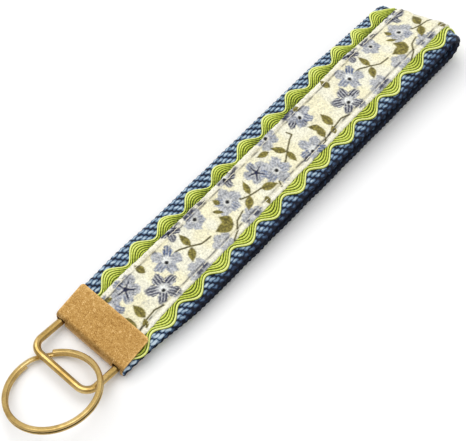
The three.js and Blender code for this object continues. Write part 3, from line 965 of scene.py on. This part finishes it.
def wire_look(name, tones, seam=False):
    """Satin brass wire with fine drawing marks and a few darker patches. With seam, it has a line of
    painted shade in the groove where the split ring's two turns meet, in the plane through its middle."""
    look = Look(name, Metallic=1.0)
    where = look.position()
    fine = look.noise(where, 1900.0, 3.0, 0.6)
    patch = look.noise(where, 130.0, 3.0, 0.55)
    tone = look.math("ADD", look.math("MULTIPLY", patch, 0.7), look.math("MULTIPLY", fine, 0.3))
    color = look.ramp(tone, *zip((0.3, 0.5, 0.7), tones))
    if seam:
        low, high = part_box("split_ring")
        offset = look.vector("SUBTRACT", where, (low + high) / 2)
        away = look.math("ABSOLUTE", look.vector("DOT_PRODUCT", offset, RING_AXIS, "Value"))
        toward = look.vector("DOT_PRODUCT", offset, RING_SEAM, "Value")
        line_share = look.spread(away, 0.0002, 0.00042, 1.0, 0.0)
        side_share = look.spread(toward, 0, 0.003, 0, 1)
        color = look.mix(look.math("MULTIPLY", line_share, side_share), color, SEAM_SHADE)
    look.color(color)
    look.rough(look.spread(tone, 0.35, 0.65, 0.36, 0.26))
    look.bump(fine, 0.00003, 0.4)
    return look


def finish_metal(node, look, bevel):
    """Welds a carried-over CAD node, eases its sharp edges by the bevel, and dresses it."""
    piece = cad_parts[node]
    weld = piece.modifiers.new("weld", "WELD")
    weld.merge_threshold = 1e-6
    if bevel:
        ease = piece.modifiers.new("ease", "BEVEL")
        ease.width = bevel * MM
        ease.segments = 3
        ease.limit_method = "ANGLE"
        ease.angle_limit = math.radians(32)
    dress(piece, look)


# ---- The object -----------------------------------------------------------------------------

webbing = make_webbing()
dress(webbing, webbing_look())
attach(webbing, "fob")
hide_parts("webbing_strap")

lime = rickrack_look()
for name, side in (("rickrack_left", -1), ("rickrack_right", 1)):
    braid = make_rickrack(name + "_braid", side)
    dress(braid, lime)
    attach(braid, "fob")
    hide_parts(name)

strip = make_strip()
dress(strip, strip_look())
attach(strip, "fob")
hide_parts("fabric_strip")

cream = thread_look()
rows = []
for name, side in (("left", -1), ("right", 1)):
    rows.append(make_stitches(f"needle_stitches_{name}", side, *NEEDLE_THREAD))
    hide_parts(f"needle_thread_{name}")
    rows.append(make_stitches(f"bobbin_stitches_{name}", side, *BOBBIN_THREAD))
    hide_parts(f"bobbin_thread_{name}")
for row in rows:
    dress(row, cream)
    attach(row, "fob")

finish_metal("clamp", clamp_look(), CLAMP_BEVEL)
finish_metal("bail_wire", wire_look("satin_brass_bail", BAIL_TONES), 0)
finish_metal("split_ring", wire_look("satin_brass_ring", RING_TONES, seam=True), RING_BEVEL)

# ---- Stage, light and camera ----------------------------------------------------------------

FLOOR_REACH, FLOOR_GAP = 9.0, 0.00005  # metres from the middle, and below the object
FLOOR_TONES = (0.9, 0.9, 0.9), (0.93, 0.93, 0.93)

# The camera was fitted to the picture: its angles in degrees, the point it looks at, from the
# middle of the clamp's mouth in mm, its distance from that point in metres, and its lens in mm.
CAMERA_AZIMUTH, CAMERA_ELEVATION, CAMERA_ROLL = 40.573, 61.29, 1.225
CAMERA_TARGET = (3.991, 47.94, 3.18)
CAMERA_DISTANCE, CAMERA_LENS, CAMERA_SENSOR = 0.4013, 99.09, 36


def make_floor():
    corners = [(-1, -1), (1, -1), (1, 1), (-1, 1)]
    points = [(x * FLOOR_REACH, y * FLOOR_REACH, cad_box[0].z - FLOOR_GAP) for x, y in corners]
    floor = bpy.data.objects.new("floor", new_mesh("floor", points, [[0, 1, 2, 3]]))
    bpy.context.scene.collection.objects.link(floor)
    look = Look("pale_floor", Roughness=0.9, Specular_IOR_Level=0.1)
    cloud = look.noise(look.position(), 3.0, 2.0)
    look.color(look.ramp(cloud, *zip((0.0, 1.0), FLOOR_TONES)))
    dress(floor, look)


def make_light(name, location, size, power):
    """A square light that faces the middle of the object."""
    data = bpy.data.lights.new(name, "AREA")
    data.size = size
    data.energy = power
    light = bpy.data.objects.new(name, data)
    light.location = location
    light.rotation_euler = (-Vector(location)).to_track_quat("-Z", "Y").to_euler()
    bpy.context.scene.collection.objects.link(light)


def make_camera():
    angles = CAMERA_AZIMUTH, CAMERA_ELEVATION, CAMERA_ROLL
    azimuth, elevation, roll = (math.radians(angle) for angle in angles)
    level = math.cos(elevation)
    back = Vector((math.sin(azimuth) * level, -math.cos(azimuth) * level, math.sin(elevation)))
    target = (Vector(MOUTH) + Vector(CAMERA_TARGET)) * MM
    right = (-back).cross(Vector((0, 0, 1))).normalized()
    up = right.cross(-back)
    turned_right = right * math.cos(roll) + up * math.sin(roll)
    turned_up = up * math.cos(roll) - right * math.sin(roll)
    data = bpy.data.cameras.new("camera")
    data.sensor_width = CAMERA_SENSOR
    data.lens = CAMERA_LENS
    data.clip_start = 0.01
    camera = bpy.data.objects.new("camera", data)
    turn = Matrix((turned_right, turned_up, back)).transposed().to_4x4()
    camera.matrix_world = Matrix.Translation(target + back * CAMERA_DISTANCE) @ turn
    bpy.context.scene.collection.objects.link(camera)
    bpy.context.scene.camera = camera


def make_world():
    """A soft sky, brightest overhead."""
    world = bpy.data.worlds.new("studio")
    world.use_nodes = True
    tree = world.node_tree
    background = tree.nodes["Background"]
    direction = tree.nodes.new("ShaderNodeTexCoord").outputs["Generated"]
    split = tree.nodes.new("ShaderNodeSeparateXYZ")
    tree.links.new(direction, split.inputs[0])
    ramp = tree.nodes.new("ShaderNodeValToRGB")
    tree.links.new(split.outputs[2], ramp.inputs[0])
    for element, (at, value) in zip(ramp.color_ramp.elements, ((0.05, 0.42), (0.75, 0.82))):
        element.position = at
        element.color = (value, value, value, 1)
    tree.links.new(ramp.outputs[0], background.inputs["Color"])
    background.inputs["Strength"].default_value = 1.0
    bpy.context.scene.world = world


make_floor()
make_camera()
make_light("key", location=(-0.34, 0.04, 0.9), size=1.0, power=6.4)
make_world()
bpy.context.scene.view_settings.view_transform = "Standard"
